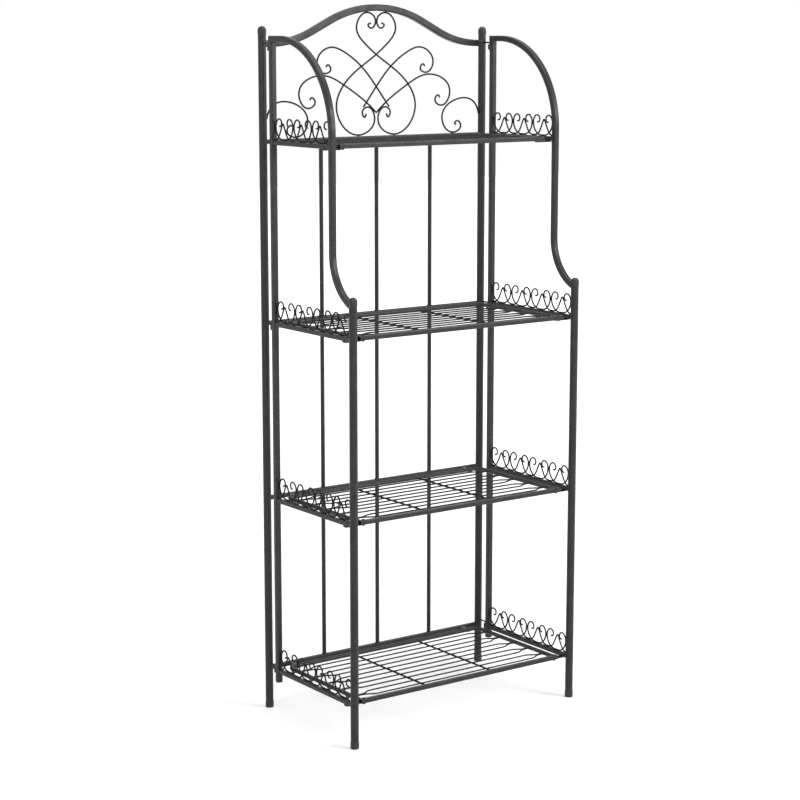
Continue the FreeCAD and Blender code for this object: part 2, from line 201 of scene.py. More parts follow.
def makePaint(name, look):
    paint = bpy.data.materials.new(name)
    paint.use_nodes = True
    tree = paint.node_tree
    coat = addGroup(tree, coatGroup, {
        "Dark": (*look["dark"], 1), "Light": (*look["light"], 1),
        "Cloud Size": look["clouds"], "Roughness": look["rough"]})
    # pale corner tint: partly wear, partly a painted highlight
    rub = addGroup(tree, rubAndHighlightGroup, {"Color": coat["Color"], "Amount": look["rub"]})
    dust = addGroup(tree, dustGroup, {"Color": rub["Color"], "Amount": look["dust"]})
    bump = tree.nodes.new("ShaderNodeBump")
    feed(tree, bump, {"Strength": look["bump"], "Distance": skinDepth, "Height": coat["Height"]})
    feed(tree, tree.nodes["Principled BSDF"], {
        "Base Color": dust["Color"], "Roughness": coat["Roughness"],
        "Normal": bump.outputs["Normal"], "Metallic": 0.0, "Specular IOR Level": look["gloss"]})
    return paint


paints = {name: makePaint(name, look) for name, look in paintLooks.items()}
for name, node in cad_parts.items():
    node.data.materials.clear()
    node.data.materials.append(paints["capPlastic" if name.endswith("_caps") else "tubePaint"])
print("paints ready:", ", ".join(paints))


sharpAngle = math.radians(50)
tiny = 1e-6  # points closer than this are one


def placePiece(name, mesh, body, paint, node=None, smooth=True):
    mesh.name = name
    piece = bpy.data.objects.new(name, mesh)
    scene.collection.objects.link(piece)
    mesh.materials.append(paints[paint])
    mesh.polygons.foreach_set("use_smooth", [smooth] * len(mesh.polygons))
    if smooth:
        mesh.set_sharp_from_angle(angle=sharpAngle)
        flatFaces = piece.modifiers.new("flatFaces", "WEIGHTED_NORMAL")
        flatFaces.keep_sharp = True
    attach(piece, body)
    if node:
        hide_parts(node)


def finishMesh(bm):
    mesh = bpy.data.meshes.new("work")
    bmesh.ops.remove_doubles(bm, verts=bm.verts, dist=tiny)
    bmesh.ops.recalc_face_normals(bm, faces=bm.faces)
    bm.to_mesh(mesh)
    bm.free()
    return mesh


def joinMeshes(meshes):
    bm = bmesh.new()
    for mesh in meshes:
        bm.from_mesh(mesh)
        bpy.data.meshes.remove(mesh)
    mesh = bpy.data.meshes.new("work")
    bm.to_mesh(mesh)
    bm.free()
    return mesh


def arc(centre, radius, first, last, count):
    spots = []
    for step in range(count):
        turn = math.radians(first + (last - first) * step / (count - 1))
        spots.append((centre[0] + radius * math.cos(turn), centre[1] + radius * math.sin(turn)))
    return spots


def dome(radius, height, base, step):
    # quarter of an oval for lathe, from its widest up to the pole, a few degrees at a time
    turns = [math.radians(a) for a in range(step, 90, step)]
    line = [(radius * math.cos(a), base + height * math.sin(a)) for a in turns]
    return [(radius, base)] + line + [(0, base + height)]


def addStraightLine(curve, path):
    spline = curve.splines.new("POLY")
    spline.points.add(len(path) - 1)
    for point, (u, v) in zip(spline.points, path):
        point.co = (u, v, 0, 1)
    return spline


sectionSpec = {"turns": 5, "cuts": (0.12, 0.5, 0.88)}  # the cuts keep the pale wear and painted highlight on the corners


def squareSection(size, corner):
    # rounded square outline, the section of a bent tube
    reach = size / 2 - corner
    centres = [(reach, reach), (-reach, reach), (-reach, -reach), (reach, -reach)]
    corners = [arc(centre, corner, 90 * quarter, 90 * quarter + 90, sectionSpec["turns"])
               for quarter, centre in enumerate(centres)]
    spots = []
    for here, following in zip(corners, corners[1:] + corners[:1]):
        start, end = Vector(here[-1]), Vector(following[0])
        spots += here + [start.lerp(end, share) for share in sectionSpec["cuts"]]
    shape = bpy.data.curves.new("squareSection", "CURVE")
    shape.dimensions = "2D"
    addStraightLine(shape, spots).use_cyclic_u = True
    section = bpy.data.objects.new("squareSection", shape)
    scene.collection.objects.link(section)
    return section


def fairSlopes(path):
    # slopes of the smooth line through the points, the same line that the CAD wires follow
    spots = numpy.array(path)
    runs = numpy.linalg.norm(numpy.diff(spots, axis=0), axis=1)
    along = numpy.concatenate(([0.0], numpy.cumsum(runs)))
    steps = numpy.diff(spots, axis=0) / runs[:, None]
    count = len(path)
    table = numpy.zeros((count, count))
    wanted = numpy.zeros((count, 2))
    table[0, 0] = table[-1, -1] = 1
    # at each end, the slope of the cubic through the nearest four points
    wanted[0] = numpy.polyfit(along[:4], spots[:4], 3)[2]
    wanted[-1] = numpy.polyfit(along[-4:] - along[-1], spots[-4:], 3)[2]
    for i in range(1, count - 1):
        table[i, i - 1:i + 2] = runs[i], 2 * (runs[i - 1] + runs[i]), runs[i - 1]
        wanted[i] = 3 * (runs[i] * steps[i - 1] + runs[i - 1] * steps[i])
    return numpy.linalg.solve(table, wanted), runs


def addSmoothLine(curve, path):
    spline = curve.splines.new("BEZIER")
    spline.bezier_points.add(len(path) - 1)
    slopes, runs = fairSlopes(path)
    for i, (point, (u, v)) in enumerate(zip(spline.bezier_points, path)):
        before, after = runs[max(i - 1, 0)] / 3, runs[min(i, len(runs) - 1)] / 3
        point.handle_left_type = point.handle_right_type = "FREE"
        point.co = (u, v, 0)
        point.handle_left = (u - slopes[i][0] * before, v - slopes[i][1] * before, 0)
        point.handle_right = (u + slopes[i][0] * after, v + slopes[i][1] * after, 0)


def discard(helper):
    curve = helper.data
    bpy.data.objects.remove(helper)
    bpy.data.curves.remove(curve)


# how a flat drawing stands up, and which way its offset goes
planes = {
    "plan": (Matrix.Identity(4), Vector((0, 0, 1))),
    "front": (Matrix(((1, 0, 0), (0, 0, -1), (0, 1, 0))).to_4x4(), Vector((0, 1, 0))),
    "side": (Matrix(((0, 0, 1), (1, 0, 0), (0, 1, 0))).to_4x4(), Vector((1, 0, 0))),
}


def sweep(paths, plane, offset, radius=0.0, section=None, curved=False, sides=4, steps=10):
    # round rods along flat paths, or bars of the given section, then stood up in their plane
    curve = bpy.data.curves.new("sweepWork", "CURVE")
    curve.dimensions = "2D" if section else "3D"
    curve.resolution_u = steps
    curve.use_fill_caps = True
    if section:
        curve.bevel_mode = "OBJECT"
        curve.bevel_object = section
    else:
        curve.bevel_depth = radius
        curve.bevel_resolution = sides
    for path in paths:
        if curved:
            addSmoothLine(curve, path)
        else:
            addStraightLine(curve, path)
    holder = bpy.data.objects.new("sweepWork", curve)
    scene.collection.objects.link(holder)
    depsgraph = bpy.context.evaluated_depsgraph_get()
    mesh = bpy.data.meshes.new_from_object(holder.evaluated_get(depsgraph))
    discard(holder)
    if section:  # made for this sweep alone
        discard(section)
    bm = bmesh.new()
    bm.from_mesh(mesh)
    bpy.data.meshes.remove(mesh)
    standing, away = planes[plane]
    bmesh.ops.transform(bm, matrix=standing, verts=bm.verts)
    bmesh.ops.translate(bm, vec=away * offset, verts=bm.verts)
    return finishMesh(bm)


barSpec = {"wall": 0.0011, "mouthDepth": 0.012, "cutBeside": 0.0006,
           "narrow": 2.5}  # in margins: a side no wider than this gets no cuts


def bar(low, high, corner, segments=3, openEnds=None):
    # straight bar or plate with rounded long edges; openEnds is the axis that a tube is open on
    bm = bmesh.new()
    low, high = Vector(low), Vector(high)
    size = high - low
    bmesh.ops.create_cube(bm, size=1.0)
    bmesh.ops.scale(bm, vec=size, verts=bm.verts)
    bmesh.ops.translate(bm, vec=(low + high) / 2, verts=bm.verts)
    axis = max(range(3), key=lambda i: size[i]) if openEnds is None else openEnds
    edges = [e for e in bm.edges if abs(e.verts[1].co[axis] - e.verts[0].co[axis]) > tiny]
    bmesh.ops.bevel(bm, geom=edges, offset=corner, segments=segments, profile=0.5,
                    affect="EDGES", material=-1)
    if openEnds is not None:
        for end in [f for f in bm.faces if round(abs(f.normal[axis])) == 1]:
            inward = -end.normal.copy() * barSpec["mouthDepth"]
            bmesh.ops.inset_region(bm, faces=[end], thickness=barSpec["wall"],
                                   use_even_offset=True)
            bmesh.ops.translate(bm, vec=inward, verts=end.verts)
    margin = corner + barSpec["cutBeside"]
    for i in range(3):  # cuts beside the corners, so that the pale wear and painted highlight stay on the corners
        if size[i] <= barSpec["narrow"] * margin:
            continue
        across = Vector((i == 0, i == 1, i == 2))
        for place in (low[i] + margin, high[i] - margin):
            everything = bm.verts[:] + bm.edges[:] + bm.faces[:]
            bmesh.ops.bisect_plane(bm, geom=everything, dist=tiny,
                                   plane_co=across * place, plane_no=across)
    return finishMesh(bm)


def lathe(profile, centre, sides):
    # profile is (radius, height) from the bottom up, turned about an upright axis
    if profile[0] != profile[-1]:  # one that isn't a ring is closed at the axis
        profile = [(0, profile[0][1])] + profile + [(0, profile[-1][1])]
    bm = bmesh.new()
    spots = [bm.verts.new((radius, 0, height)) for radius, height in profile]
    edges = [bm.edges.new(pair) for pair in zip(spots, spots[1:])]
    bmesh.ops.spin(bm, geom=spots + edges, cent=(0, 0, 0), axis=(0, 0, 1), angle=math.tau,
                   steps=sides, use_merge=True)
    bmesh.ops.translate(bm, vec=Vector(centre), verts=bm.verts)
    return finishMesh(bm)


def turnedRod(radius, low, high, centre, sides, endBand=0.004):
    heights = (low, low + endBand, high - endBand, high)
    return lathe([(radius, height) for height in heights], centre, sides)


# shared setting-out, in metres
rack = {
    "postX": 0.305, "postY": 0.174, "postRadius": 0.009, "hingeY": 0.1435,
    "lowestShelf": 0.093, "highestShelf": 1.295, "shelfHalf": 0.279, "rearRailY": 0.138,
    "shelfGap": 0.0003,  # from the side frames' rails and rests up to a shelf
    "frontGap": 0.001,  # between a shelf and the front post or curved tube that it meets
    "uprightY": 0.132, "sideBar": 0.013, "sideTop": 1.530, "frontRunY": -0.0985,
    "rail": 0.010, "railCorner": 0.0017, "panelFloor": 1.3046,
    "sideNames": {-1: "left", 1: "right"},
    "levelNames": ["bottom", "lower", "upper", "top"],
}
shelfSpread = rack["highestShelf"] - rack["lowestShelf"]
levels = [rack["lowestShelf"] + i * shelfSpread / 3 for i in range(4)]
topLevel = 3  # this shelf meets the curved tubes, the others meet the front posts
shelfBodies = [name + "_shelf" for name in rack["levelNames"]]
weldSpots = {body: [] for body in ["back_frame", "left_side", "right_side"] + shelfBodies}


def railEnd(index, behindPost):
    # front end of a side rail or gallery: on the curved tube, or behind the post's middle line
    if index == topLevel:
        return rack["frontRunY"] + rack["sideBar"] / 2
    return behindPost - rack["postY"]


def frontFace(index):
    # the front of a shelf's front rail
    return railEnd(index, rack["postRadius"]) + rack["frontGap"]


postSpec = {
    "sides": 40, "domeStep": 10, "bottom": 0.010, "backTop": 1.551, "frontTop": 0.99033,
    "ballRadius": 0.0095, "ballHeight": 0.020, "footRadius": 0.00965, "footHeight": 0.016,
    # steps of the ball's collar, the foot's sole and its upper rim: in from the full radius, up
    "collar": [(0.0055, -0.001), (0.0009, 0), (0.0009, 0.0011), (0.0003, 0.0018), (0, 0.0028)],
    "sole": [(0.0018, 0), (0.0004, 0.0006), (0, 0.0022)],
    "rim": [(0.0001, -0.0012), (0.0004, -0.0003), (0.0009, 0), (0.00105, 0)],
}


def makePost(x, y, top, name, node, body):
    # round post with a ball on its top and a cup on its foot
    sides, base = postSpec["sides"], top - postSpec["ballHeight"]
    tube = turnedRod(rack["postRadius"], postSpec["bottom"], base, (x, y, 0), sides)
    placePiece(name + "Post", tube, body, "tubePaint", node + "_post")
    radius = postSpec["ballRadius"]
    ballLine = [(radius - step, base + rise) for step, rise in postSpec["collar"]]
    ballLine += dome(radius, radius, top - radius, postSpec["domeStep"])
    radius, height = postSpec["footRadius"], postSpec["footHeight"]
    footLine = [(radius - step, rise) for step, rise in postSpec["sole"]]
    footLine += [(radius - step, height + rise) for step, rise in postSpec["rim"]]
    caps = joinMeshes([lathe(line, (x, y, 0), sides) for line in (ballLine, footLine)])
    placePiece(name + "Caps", caps, body, "capPlastic", node + "_caps")


for side, sideName in rack["sideNames"].items():
    x, y = side * rack["postX"], rack["postY"]
    makePost(x, y, postSpec["backTop"], sideName + "Back", "back_" + sideName, "back_frame")
    makePost(x, -y, postSpec["frontTop"], sideName + "Front", sideName + "_front",
             sideName + "_side")
print("posts and caps made")


crestSpec = {"bar": 0.015, "corner": 0.0026, "top": 1.600, "footZ": 1.513, "flat": 0.017,
             "endInset": 0.004, "hollowShare": 0.468, "slope": 1.7, "steps": 20}


def makeCrest():
    # a flat end, a hollow bend and the crown on each side of the middle
    footZ, crownZ = crestSpec["footZ"], crestSpec["top"] - crestSpec["bar"] / 2
    rise, span = crownZ - footZ, rack["postX"] - crestSpec["flat"]
    slope = math.atan2(rise, span) * crestSpec["slope"]
    bends = (span * math.sin(slope) - rise * math.cos(slope)) / (1 - math.cos(slope))
    hollow = bends * crestSpec["hollowShare"]
    crown = bends - hollow
    degrees, steps = math.degrees(slope), crestSpec["steps"]
    half = [(-rack["postX"] + crestSpec["endInset"], footZ)]
    half += arc((-span, footZ + hollow), hollow, -90, -90 + degrees, steps)
    half += arc((0, crownZ - crown), crown, 90 + degrees, 90, steps)
    line = half + [(-u, v) for u, v in half[-2::-1]]
    section = squareSection(crestSpec["bar"], crestSpec["corner"])
    crest = sweep([line], "front", rack["postY"], section=section)
    placePiece("crestBar", crest, "back_frame", "tubePaint", "top_arch")


makeCrest()

crossbarSpec = {"inset": 0.007, "drop": 0.003}  # in from the posts' middles, under a shelf
crossbarFloors = [level - crossbarSpec["drop"] for level in levels[:topLevel]]
crossbarFloors.append(rack["panelFloor"] - rack["rail"])
reach, y, half = rack["postX"] - crossbarSpec["inset"], rack["postY"], rack["rail"] / 2
for name, z in zip(rack["levelNames"], crossbarFloors):
    crossbar = bar((-reach, y - half, z), (reach, y + half, z + rack["rail"]),
                   rack["railCorner"])
    placePiece(name + "Crossbar", crossbar, "back_frame", "tubePaint", name + "_crossbar")

spindleSpec = {"radius": 0.00475, "sides": 24, "seat": 0.001,  # seat is its depth in a crossbar
               "beads": 6, "beadShift": 0.3, "beadX": 0.0045, "beadY": 0.0042, "beadRise": 0.0003}


def makeSpindle(x, low, high):
    # a rod between two crossbars, with a ring of weld beads at each end
    y, seat = rack["postY"], spindleSpec["seat"]
    for z in (low + spindleSpec["beadRise"], high - spindleSpec["beadRise"]):
        for turn in range(spindleSpec["beads"]):
            a = turn * math.tau / spindleSpec["beads"]
            a += rng.uniform(-spindleSpec["beadShift"], spindleSpec["beadShift"])
            weldSpots["back_frame"].append((x + spindleSpec["beadX"] * math.cos(a),
                                            y + spindleSpec["beadY"] * math.sin(a), z))
    return turnedRod(spindleSpec["radius"], low - seat, high + seat, (x, y, 0),
                     spindleSpec["sides"])


spindles = []
for floor, ceiling in zip(crossbarFloors, crossbarFloors[1:]):
    for place in (-1, 0, 1):
        spindles.append(makeSpindle(place * rack["postX"] / 2, floor + rack["rail"], ceiling))
placePiece("backSpindles", joinMeshes(spindles), "back_frame", "tubePaint", "spindles")
print("back frame made")


# four scroll wires a side, in two layers: each point is out from the middle and up from the
# top crossbar, in millimetres
scrollSpec = {"radius": 0.002, "sides": 4, "steps": 12}
scrollWires = {
    "heart": {
        "layer": -1, "welds": [(-27.5, 279.5), (49.0, 0.8)],
        "line": [(-16.5, 253.4), (-23.5, 248.2), (-15.5, 242.2), (-3.2, 258.0), (-27.5, 277.0),
                 (-55.5, 243.0), (-33.0, 208.5), (0.0, 182.4), (43.0, 154.5), (89.0, 115.0),
                 (108.5, 65.0), (49.0, 2.5), (3.2, 38.5), (22.5, 65.0), (37.5, 53.0),
                 (32.0, 42.5), (27.0, 50.0)]},
    "upper": {
        "layer": 1, "welds": [],
        "line": [(-34.4, 65.5), (0.0, 109.4), (41.5, 156.0), (92.5, 191.0), (128.0, 199.5),
                 (162.5, 167.5), (143.0, 142.0), (126.0, 151.5), (132.5, 161.0),
                 (138.5, 156.0)]},
    "middle": {
        "layer": 1, "welds": [],
        "line": [(1.5, 52.4), (29.0, 76.0), (90.0, 115.5), (155.0, 137.5), (211.5, 98.0),
                 (185.0, 65.5), (168.5, 80.0), (177.0, 89.0), (182.0, 83.5)]},
    "corner": {
        "layer": -1, "welds": [(295.0, 44.5), (215.0, 0.8)],
        "line": [(294.0, 44.0), (235.0, 80.3), (186.0, 40.0), (215.0, 2.5), (241.0, 17.5),
                 (231.0, 28.5), (223.5, 24.0), (227.0, 20.0)]},
}


def makeScroll(side, sideName, kind, wire):
    floor, radius = rack["panelFloor"], scrollSpec["radius"]
    depth = rack["postY"] + wire["layer"] * side * radius
    path = [(side * x / 1000, floor + z / 1000) for x, z in wire["line"]]
    scroll = sweep([path], "front", depth, radius=radius, curved=True,
                   sides=scrollSpec["sides"], steps=scrollSpec["steps"])
    placePiece(sideName + kind.capitalize() + "Scroll", scroll, "back_frame", "wirePaint",
               f"{sideName}_{kind}_scroll")
    for x, z in wire["welds"]:
        weldSpots["back_frame"].append((side * x / 1000, depth, floor + z / 1000))


for side, sideName in rack["sideNames"].items():
    for kind, wire in scrollWires.items():
        makeScroll(side, sideName, kind, wire)
print("scroll panel made")


hingeSpec = {
    "tops": [0.103, 0.89633, 1.510], "height": 0.012,
    "knuckle": 0.005, "bore": 0.0021, "edge": 0.0006, "sides": 24,
    "pin": 0.002, "armRise": 0.004, "armInset": 0.008, "bend": 0.003, "bendSteps": 7,
    "legPast": 0.003,
    # the web joins a knuckle to its upright
    "webHalf": 0.0034, "webSeat": 0.0002, "webToPin": 0.0024, "webShort": 0.0004,
}


def makeHinges(side, sideName):
    # a cranked pin on the back post stands in each of the side frame's knuckles
    x, y, uprightBack = side * rack["postX"], rack["hingeY"], rack["uprightY"] + rack["sideBar"] / 2
    bend, wide, bore, edge = (hingeSpec[size] for size in ("bend", "knuckle", "bore", "edge"))
    half, short = hingeSpec["webHalf"], hingeSpec["webShort"]
    pins, knuckles = [], []
    for top in hingeSpec["tops"]:
        low, arm = top - hingeSpec["height"], top + hingeSpec["armRise"]
        line = [(rack["postY"] - hingeSpec["armInset"], arm)]
        line += arc((y + bend, arm - bend), bend, 90, 180, hingeSpec["bendSteps"])
        line.append((y, low - hingeSpec["legPast"]))
        pins.append(sweep([line], "side", x, radius=hingeSpec["pin"]))
        ring = [(bore, low), (wide - edge, low), (wide, low + edge), (wide, top - edge),
                (wide - edge, top), (bore, top), (bore, low)]
        knuckles.append(lathe(ring, (x, y, 0), hingeSpec["sides"]))
        knuckles.append(bar((x - half, uprightBack - hingeSpec["webSeat"], low + short),
                            (x + half, y - hingeSpec["webToPin"], top - short),
                            edge, segments=2))
    placePiece(sideName + "HingePins", joinMeshes(pins), "back_frame", "tubePaint",
               sideName + "_hinge_pins")
    placePiece(sideName + "Knuckles", joinMeshes(knuckles), sideName + "_side", "tubePaint",
               sideName + "_hinge_knuckles")


for side, sideName in rack["sideNames"].items():
    makeHinges(side, sideName)

strapSpec = {"bore": 0.00505, "sheet": 0.0012, "width": 0.010, "inset": 0.031,
             "tailEnd": 0.0052, "mouth": 12, "steps": 30,
             "sheetShare": 0.94}  # keeps the faces of the two tails from coinciding


def makeStrap(x, level):
    # strip of sheet rolled round the rail, both tails run back to the crossbar
    axisY, axisZ = rack["rearRailY"], level + rack["rail"] / 2
    half, mouth = strapSpec["sheet"] / 2, strapSpec["mouth"]
    tail = rack["postY"] - strapSpec["tailEnd"]
    line = [(tail, axisZ + half)]
    line += arc((axisY, axisZ), strapSpec["bore"] + half, mouth, 360 - mouth, strapSpec["steps"])
    line.append((tail, axisZ - half))
    bm = bmesh.new()
    spots = [bm.verts.new((x - strapSpec["width"] / 2, u, v)) for u, v in line]
    edges = [bm.edges.new(pair) for pair in zip(spots, spots[1:])]
    made = bmesh.ops.extrude_edge_only(bm, edges=edges)["geom"]
    bmesh.ops.translate(bm, vec=(strapSpec["width"], 0, 0),
                        verts=[v for v in made if isinstance(v, bmesh.types.BMVert)])
    bmesh.ops.recalc_face_normals(bm, faces=bm.faces)
    bmesh.ops.solidify(bm, geom=list(bm.faces),  # the sheet lies on the inside of the line
                       thickness=strapSpec["sheet"] * strapSpec["sheetShare"])
    return finishMesh(bm)


strapX = rack["shelfHalf"] - strapSpec["inset"]
straps = [makeStrap(side * strapX, level) for level in levels for side in (-1, 1)]
placePiece("shelfStraps", joinMeshes(straps), "back_frame", "tubePaint", "shelf_straps",
           smooth=False)
print("hinges made")


sideSpec = {"corner": 0.0022, "uprightBottom": 0.071, "bend": 0.200, "elbow": 0.113,
            "elbowZ": 1.07553, "elbowTurn": 68, "steps": 24,
            "railToPost": 0.0075}  # from a front post's middle to the rail's end inside it
restSpec = {"sheet": 0.003, "length": 0.012, "reach": 0.009, "clearance": 0.002,
            "corner": 0.0006}


def makeSideFrame(side, sideName):
    x, body = side * rack["postX"], sideName + "_side"
    half, corner, uprightY = rack["sideBar"] / 2, sideSpec["corner"], rack["uprightY"]
    upright = bar((x - half, uprightY - half, sideSpec["uprightBottom"]),
                  (x + half, uprightY + half, rack["sideTop"] - rack["sideBar"]),
                  corner, segments=4, openEnds=2)
    placePiece(sideName + "Upright", upright, body, "tubePaint", sideName + "_rear_upright")

    # level over the upright, a wide bend down, a straight run and the elbow into the post
    topZ, bend, elbow = rack["sideTop"] - half, sideSpec["bend"], sideSpec["elbow"]
    front, steps = rack["frontRunY"], sideSpec["steps"]
    line = [(uprightY + half, topZ)]
    line += arc((front + bend, topZ - bend), bend, 90, 180, steps)
    line += arc((front - elbow, sideSpec["elbowZ"]), elbow, 0, -sideSpec["elbowTurn"], steps)
    tube = sweep([line], "side", x, section=squareSection(rack["sideBar"], corner))
    placePiece(sideName + "CurvedTube", tube, body, "tubePaint", sideName + "_curved_tube")

    rails, rests = [], []
    railHalf = rack["rail"] / 2
    inner, outer = side * (rack["shelfHalf"] - restSpec["reach"]), x + side * railHalf
    for index, level in enumerate(levels):
        low = level - rack["shelfGap"]
        rails.append(bar((x - railHalf, railEnd(index, sideSpec["railToPost"]), low),
                         (x + railHalf, uprightY - half, low + rack["rail"]),
                         rack["railCorner"]))
        start = frontFace(index) + rack["rail"] + restSpec["clearance"]
        rests.append(bar((min(inner, outer), start, low - restSpec["sheet"]),
                         (max(inner, outer), start + restSpec["length"], low),
                         restSpec["corner"], segments=2))
    placePiece(sideName + "SideRails", joinMeshes(rails), body, "tubePaint",
               sideName + "_side_rails")
    placePiece(sideName + "ShelfRests", joinMeshes(rests), body, "tubePaint",
               sideName + "_shelf_rests")


# half a lyre and half a wave are drawn in millimetres: out from the middle, up from the rail
gallerySpec = {
    "radius": 0.0018, "sides": 3, "steps": 7, "lyres": [4, 4, 4, 3], "drawnPitch": 72.6,
    "lyre": [(19.6, 31.4), (12.3, 33.6), (12.0, 42.0), (21.6, 46.9), (31.4, 39.8),
             (33.5, 26.0), (25.0, 9.6), (9.0, 2.0), (0.0, 1.8)],
    "wave": [(0.0, 37.0), (4.6, 31.0), (11.5, 17.5), (21.5, 4.6), (36.3, 1.8)],
    "footWeldX": 0.0012, "footWeldRise": 0.0006, "meetWeld": 35.5, "meetWeldRise": 0.0005,
}


def makeGallery(side, sideName, index):
    # lyres stand side by side on the rail and a waving wire runs beside them
    x, radius, count = side * rack["postX"], gallerySpec["radius"], gallerySpec["lyres"][index]
    start, end = rack["uprightY"] - rack["sideBar"] / 2, railEnd(index, rack["postRadius"])
    pitch = (start - end) / count
    stretch = pitch / gallerySpec["drawnPitch"]
    floor = levels[index] - rack["shelfGap"] + rack["rail"]
    lyreLine, waveLine = gallerySpec["lyre"], gallerySpec["wave"]
    lyre = [(-u, w) for u, w in lyreLine] + lyreLine[-2::-1]
    swell = waveLine[::-1] + [(-u, w) for u, w in waveLine[1:]]
    welds = weldSpots[sideName + "_side"]
    lyres, wave = [], []
    for unit in range(count):
        middle = start - pitch * (unit + 0.5)
        lyres.append([(middle + u * stretch, floor + w / 1000) for u, w in lyre])
        fresh = swell[1:] if wave else swell  # neighbours share the point between them
        wave += [(middle + u * stretch, floor + w / 1000) for u, w in fresh]
        welds.append((x - side * gallerySpec["footWeldX"], middle,
                      floor + gallerySpec["footWeldRise"]))
        welds.append((x, middle + gallerySpec["meetWeld"] * stretch,
                      floor + gallerySpec["meetWeldRise"]))
    return [sweep(wires, "side", x + layer * side * radius, radius=radius, curved=True,
                  sides=gallerySpec["sides"], steps=gallerySpec["steps"])
            for layer, wires in ((-1, lyres), (1, [wave]))]


for side, sideName in rack["sideNames"].items():
    makeSideFrame(side, sideName)
    lower = [mesh for index in range(topLevel) for mesh in makeGallery(side, sideName, index)]
    placePiece(sideName + "LowerGalleries", joinMeshes(lower), sideName + "_side", "wirePaint",
               sideName + "_lower_galleries")
    placePiece(sideName + "TopGallery", joinMeshes(makeGallery(side, sideName, topLevel)),
               sideName + "_side", "wirePaint", sideName + "_top_gallery")
print("side frames made")


shelfSpec = {"corner": 0.017, "steps": 14, "seat": 0.001, "sides": 6}


def makeShelfFrame(name, body, level, face):
    # round tube bent in a U, closed by a square front rail
    half, rail = rack["shelfHalf"], rack["rail"]
    front, side = face + rail, half - rail / 2
    corner, steps = shelfSpec["corner"], shelfSpec["steps"]
    end, rear = front - shelfSpec["seat"], rack["rearRailY"] - corner
    line = [(-side, end)] + arc((-side + corner, rear), corner, 180, 90, steps)
    line += arc((side - corner, rear), corner, 90, 0, steps) + [(side, end)]
    tube = sweep([line], "plan", level + rail / 2, radius=rail / 2, sides=shelfSpec["sides"])
    placePiece(name + "ShelfFrame", tube, body, "tubePaint", name + "_shelf_frame")
    frontRail = bar((-half, face, level), (half, front, level + rail), rack["railCorner"],
                    segments=4, openEnds=0)
    placePiece(name + "FrontRail", frontRail, body, "tubePaint", name + "_front_rail")


deckSpec = {
    "wires": [10, 10, 10, 8], "wire": 0.00175, "wireRise": 0.007, "wireSides": 2,
    "rearSpace": 0.034, "frontSpace": 0.025, "endInset": 0.0098,
    # each pair runs together over its last stretch, and parts over the next one
    "together": 0.017, "parting": 0.033, "outerEase": 0.009, "innerEase": 0.008, "ease": 0.05,
    "rod": 0.00225, "rodRise": 0.003, "rodSides": 3, "rodSeat": 0.0005, "rodToRear": 0.0046,
    "rodWeldRise": 0.0050, "pairWeldRise": 0.0068,
}


def makeDeck(name, body, level, face, count):
    half, thick, rear = rack["shelfHalf"], deckSpec["wire"], rack["rearRailY"]
    first, last = rear - deckSpec["rearSpace"], face + deckSpec["frontSpace"]
    pitch = (first - last) / (count - 1)
    end = half - deckSpec["endInset"]
    closed = end - deckSpec["together"]
    opened = closed - deckSpec["parting"]
    wires = []
    for wire in range(count):
        y = first - pitch * wire
        towards = -1 if wire % 2 == 0 else 1
        pinched = y + towards * (pitch / 2 - thick)
        ease = towards * pitch * deckSpec["ease"]
        right = [(opened, y), (opened + deckSpec["outerEase"], y + ease),
                 (closed - deckSpec["innerEase"], pinched - ease),
                 (closed, pinched), (end, pinched)]
        wires.append([(-u, v) for u, v in right[::-1]] + right)
        for way in (-1, 1):
            weldSpots[body].append((way * half / 3, y, level + deckSpec["rodWeldRise"]))
            if wire % 2 == 0:
                weldSpots[body].append((way * end, pinched - thick,
                                        level + deckSpec["pairWeldRise"]))
    deck = sweep(wires, "plan", level + deckSpec["wireRise"], radius=thick,
                 sides=deckSpec["wireSides"])
    placePiece(name + "DeckWires", deck, body, "wirePaint", name + "_deck_wires")
    z = level + deckSpec["rodRise"]
    line = [(face + rack["rail"] - deckSpec["rodSeat"], z), (rear - deckSpec["rodToRear"], z)]
    rods = [sweep([line], "side", way * half / 3, radius=deckSpec["rod"],
                  sides=deckSpec["rodSides"]) for way in (-1, 1)]
    placePiece(name + "CrossRods", joinMeshes(rods), body, "wirePaint", name + "_cross_rods")


rivetSpec = {"inset": 0.009, "sides": 24, "domeStep": 15, "head": 0.0045, "headRise": 0.0026,
             "rim": 0.0003, "sunk": 0.0001, "tail": 0.0039, "tailDrop": 0.0022,
             "tailEdge": [(0.0010, 0), (0.0002, 0.0006)]}  # in from the full radius, up


def makeRivets(name, body, level, face):
    # a domed head on the front rail's top, and the tail under it
    head, rim, tail = rivetSpec["head"], rivetSpec["rim"], rivetSpec["tail"]
    headLine = [(head, rack["rail"] - rivetSpec["sunk"])]
    headLine += dome(head, rivetSpec["headRise"] - rim, rack["rail"] + rim,
                     rivetSpec["domeStep"])
    drop = rivetSpec["tailDrop"]
    tailLine = [(tail - step, rise - drop) for step, rise in rivetSpec["tailEdge"]]
    tailLine.append((tail, rivetSpec["sunk"]))
    rivets = []
    for way in (-1, 1):
        place = (way * (rack["shelfHalf"] - rivetSpec["inset"]), face + rack["rail"] / 2, level)
        rivets += [lathe(line, place, rivetSpec["sides"]) for line in (headLine, tailLine)]
    placePiece(name + "Rivets", joinMeshes(rivets), body, "tubePaint", name + "_corner_buttons")


for index, name in enumerate(rack["levelNames"]):
    body, level, face = name + "_shelf", levels[index], frontFace(index)
    makeShelfFrame(name, body, level, face)
    makeDeck(name, body, level, face, deckSpec["wires"][index])
    makeRivets(name, body, level, face)
print("shelves made")


weldSpec = {"radius": 0.0018, "around": 8, "upward": 5, "vary": (0.85, 1.15), "turn": 3,
            "flatten": (1.0, 1.0, 0.7)}


